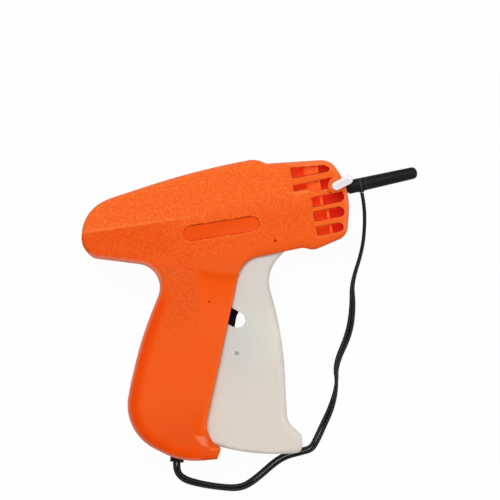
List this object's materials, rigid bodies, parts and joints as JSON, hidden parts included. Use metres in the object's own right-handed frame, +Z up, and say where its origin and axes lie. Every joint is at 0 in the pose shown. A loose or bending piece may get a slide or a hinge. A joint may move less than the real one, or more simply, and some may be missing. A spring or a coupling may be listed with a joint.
{
  "type": "garment tag attacher",
  "caption": "Pistol-shaped hand tool that pushes plastic tag fasteners through cloth by a hollow needle, with a squeeze trigger, a needle lock knob and a tethered needle cap.",
  "frame": {"origin": "middle of the footprint, without the cord's strands, on the surface that the tool lies on", "axes": "+X forward along the needle, +Y towards the barrel's top, +Z up out of the right side while the tool lies on its left side"},
  "size_m": [0.1542, 0.1452, 0.0318],
  "materials": {
    "orange_casing": "moulded orange plastic, fine spark texture on the barrel, smooth grip",
    "orange_guide": "moulded orange plastic in shade",
    "natural_trigger": "natural translucent nylon",
    "white_knob": "white nylon",
    "black_plastic": "black moulded plastic, fine grain",
    "black_cord": "smooth black round cord with a waxy sheen",
    "white_nylon": "white nylon",
    "pin_steel": "turned steel",
    "spring_steel": "drawn spring wire",
    "needle_steel": "rolled stainless steel",
    "screw_steel": "zinc-plated steel"
  },
  "bodies": {
    "casing": {"right_body": "orange_casing", "left_body": "orange_casing", "casing_screws": "screw_steel", "trigger_pivot_pin": "pin_steel", "lever_pivot_pin": "pin_steel", "needle_seat": "black_plastic", "needle_base": "black_plastic", "needle_tube": "needle_steel", "knife": "needle_steel", "feed_guide": "orange_guide", "feed_axle": "pin_steel", "pawl_pin": "pin_steel", "return_spring": "spring_steel", "pawl_spring": "spring_steel", "cord_grommet": "black_plastic", "cord_knot": "black_cord", "cord_strand_a": "black_cord", "cord_strand_b": "black_cord"},
    "trigger": {"trigger": "natural_trigger", "trigger_cross_pin": "pin_steel"},
    "lever": {"drive_lever": "black_plastic", "lever_head_pin": "pin_steel"},
    "slide": {"slide_block": "white_nylon", "plunger_rod": "spring_steel"},
    "feed_wheel": {"feed_wheel": "white_nylon"},
    "feed_pawl": {"feed_pawl": "white_nylon"},
    "needle_lock": {"needle_lock_knob": "white_knob", "needle_lock_cam": "white_nylon"},
    "cap": {"needle_cap": "black_plastic"}
  },
  "joints": [
    {"name": "trigger_squeeze", "type": "hinge", "parent": "casing", "child": "trigger", "pos_m": [0.00813, 0.02818, 0.014], "axis": [0, 0, -1], "range_deg": [0, 22.5], "stiffness_Nm_per_rad": 0.4},
    {"name": "lever_swing", "type": "hinge", "parent": "casing", "child": "lever", "pos_m": [-0.02647, 0.00798, 0.014], "axis": [0, 0, -1], "range_deg": [0, 72.43]},
    {"name": "slide_travel", "type": "slide", "parent": "casing", "child": "slide", "axis": [1, 0, 0], "range_m": [0, 0.04965], "deforming": ["return_spring"]},
    {"name": "feed_wheel_turn", "type": "hinge", "parent": "casing", "child": "feed_wheel", "pos_m": [0.01883, 0.03778, 0.014], "axis": [0, 0, 1], "continuous": true},
    {"name": "pawl_lift", "type": "hinge", "parent": "casing", "child": "feed_pawl", "pos_m": [0.00523, 0.03618, 0.014], "axis": [0, 0, 1], "range_deg": [0, 6], "stiffness_Nm_per_rad": 0.01, "deforming": ["pawl_spring"]},
    {"name": "needle_lock_turn", "type": "hinge", "parent": "casing", "child": "needle_lock", "pos_m": [0.04043, 0.04763, 0.0318], "axis": [0, 0, 1], "range_deg": [0, 90]},
    {"name": "cap_pull", "type": "slide", "parent": "casing", "child": "cap", "axis": [1, 0, 0], "range_m": [0, 0.038], "deforming": ["cord_strand_a", "cord_strand_b"]}
  ],
  "couplings": [
    {"joint": "lever_swing", "follows": "trigger_squeeze", "ratio": 3.2167},
    {"joint": "slide_travel", "follows": "trigger_squeeze", "m_per_rad": 0.1263}
  ]
}
